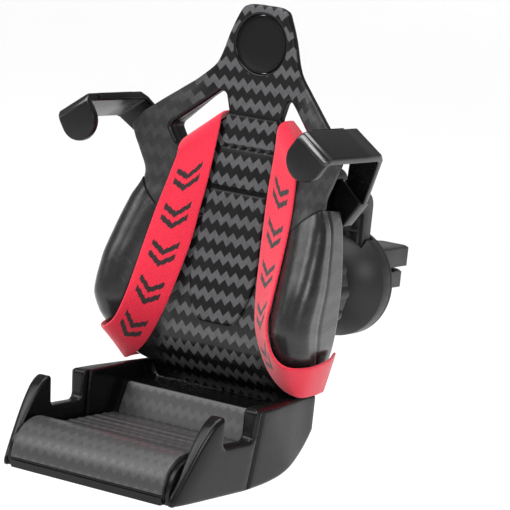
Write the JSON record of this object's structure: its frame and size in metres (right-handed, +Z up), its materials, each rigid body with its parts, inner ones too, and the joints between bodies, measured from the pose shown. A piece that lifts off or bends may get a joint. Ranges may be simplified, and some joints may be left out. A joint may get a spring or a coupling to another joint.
{
  "type": "car phone mount",
  "caption": "Racing-seat-shaped phone holder whose side arms close as the seat drops, with a foot tray and shoulder straps, on a collar-locked ball joint and a sprung vent clip.",
  "frame": {"origin": "the middle of the closed gap between the vent clip's jaws, where the vent slat is gripped", "axes": "+Z up as worn on a vent, -Y towards the driver (the side the phone faces), +X to the viewer's right; the jaws point along +Y"},
  "size_m": [0.0968, 0.1611, 0.1375],
  "materials": {
    "moulded_black": "satin moulded plastic, black",
    "carbon_look": "printed carbon-weave film under clear coat",
    "strap_red": "woven polyester webbing, red with black woven bars",
    "arm_black": "gloss moulded plastic, black",
    "housing_black": "fine-textured moulded plastic, black",
    "clip_black": "fine-textured moulded plastic, black",
    "rubber_black": "soft-touch rubber, black",
    "screw_steel": "zinc-plated screw steel",
    "spring_steel": "bright spring wire"
  },
  "bodies": {
    "clip": {"clip_body": "clip_black", "face_plate": "clip_black", "upper_jaw": "clip_black", "upper_jaw_pad": "rubber_black", "ball_stem": "clip_black", "jaw_spring": "spring_steel"},
    "slider": {"lower_jaw": "clip_black", "lower_jaw_pad": "rubber_black", "release_lever": "clip_black"},
    "spin_ring": {"inner_liner": "rubber_black"},
    "swivel_ring": {"outer_liner": "rubber_black"},
    "housing": {"rear_housing": "housing_black", "housing_cover": "housing_black", "return_spring_left": "spring_steel", "return_spring_right": "spring_steel", "housing_screw_1": "screw_steel", "housing_screw_2": "screw_steel", "housing_screw_3": "screw_steel", "housing_screw_4": "screw_steel"},
    "collar": {"collar_nut": "housing_black"},
    "seat": {"seat_shell": "moulded_black", "seat_head": "carbon_look", "headrest_dish": "rubber_black", "cushion_upper": "carbon_look", "cushion_mid": "carbon_look", "lumbar_tongue": "carbon_look", "strap_left": "strap_red", "strap_right": "strap_red", "seat_back_cover": "moulded_black", "seat_carriage": "moulded_black", "tray_front": "moulded_black", "tray_rear": "moulded_black", "front_roll": "carbon_look", "tray_floor_pad": "carbon_look", "rear_floor_panel": "carbon_look", "tray_bottom_cover": "moulded_black", "seat_screw_1": "screw_steel", "seat_screw_2": "screw_steel", "seat_screw_3": "screw_steel", "seat_screw_4": "screw_steel"},
    "left_arm": {"arm_left": "arm_black", "arm_pad_left": "rubber_black", "cam_pin_left": "screw_steel"},
    "right_arm": {"arm_right": "arm_black", "arm_pad_right": "rubber_black", "cam_pin_right": "screw_steel"}
  },
  "joints": [
    {"name": "jaw_open", "type": "slide", "parent": "clip", "child": "slider", "axis": [0, 0, -1], "range_m": [0, 0.007], "stiffness_N_per_m": 600, "springref_m": -0.01, "deforming": ["jaw_spring"]},
    {"name": "ball_spin", "type": "hinge", "parent": "clip", "child": "spin_ring", "pos_m": [0, -0.0432, -0.003], "axis": [0, 1, 0], "continuous": true},
    {"name": "ball_swivel", "type": "hinge", "parent": "spin_ring", "child": "swivel_ring", "pos_m": [0, -0.0432, -0.003], "axis": [0, 0, 1], "range_deg": [-18, 18]},
    {"name": "ball_tilt", "type": "hinge", "parent": "swivel_ring", "child": "housing", "pos_m": [0, -0.0432, -0.003], "axis": [1, 0, 0], "range_deg": [-18, 18]},
    {"name": "collar_turn", "type": "hinge", "parent": "housing", "child": "collar", "pos_m": [0, -0.0432, -0.003], "axis": [0, 1, 0], "range_deg": [0, 180]},
    {"name": "seat_drop", "type": "slide", "parent": "housing", "child": "seat", "axis": [0, 0, -1], "range_m": [0, 0.008], "stiffness_N_per_m": 120, "springref_m": -0.012, "deforming": ["return_spring_left", "return_spring_right"]},
    {"name": "arm_left_close", "type": "slide", "parent": "seat", "child": "left_arm", "axis": [1, 0, 0], "range_m": [0, 0.006]},
    {"name": "arm_right_close", "type": "slide", "parent": "seat", "child": "right_arm", "axis": [-1, 0, 0], "range_m": [0, 0.006]}
  ],
  "couplings": [
    {"joint": "arm_left_close", "follows": "seat_drop", "ratio": 0.75},
    {"joint": "arm_right_close", "follows": "seat_drop", "ratio": 0.75}
  ]
}
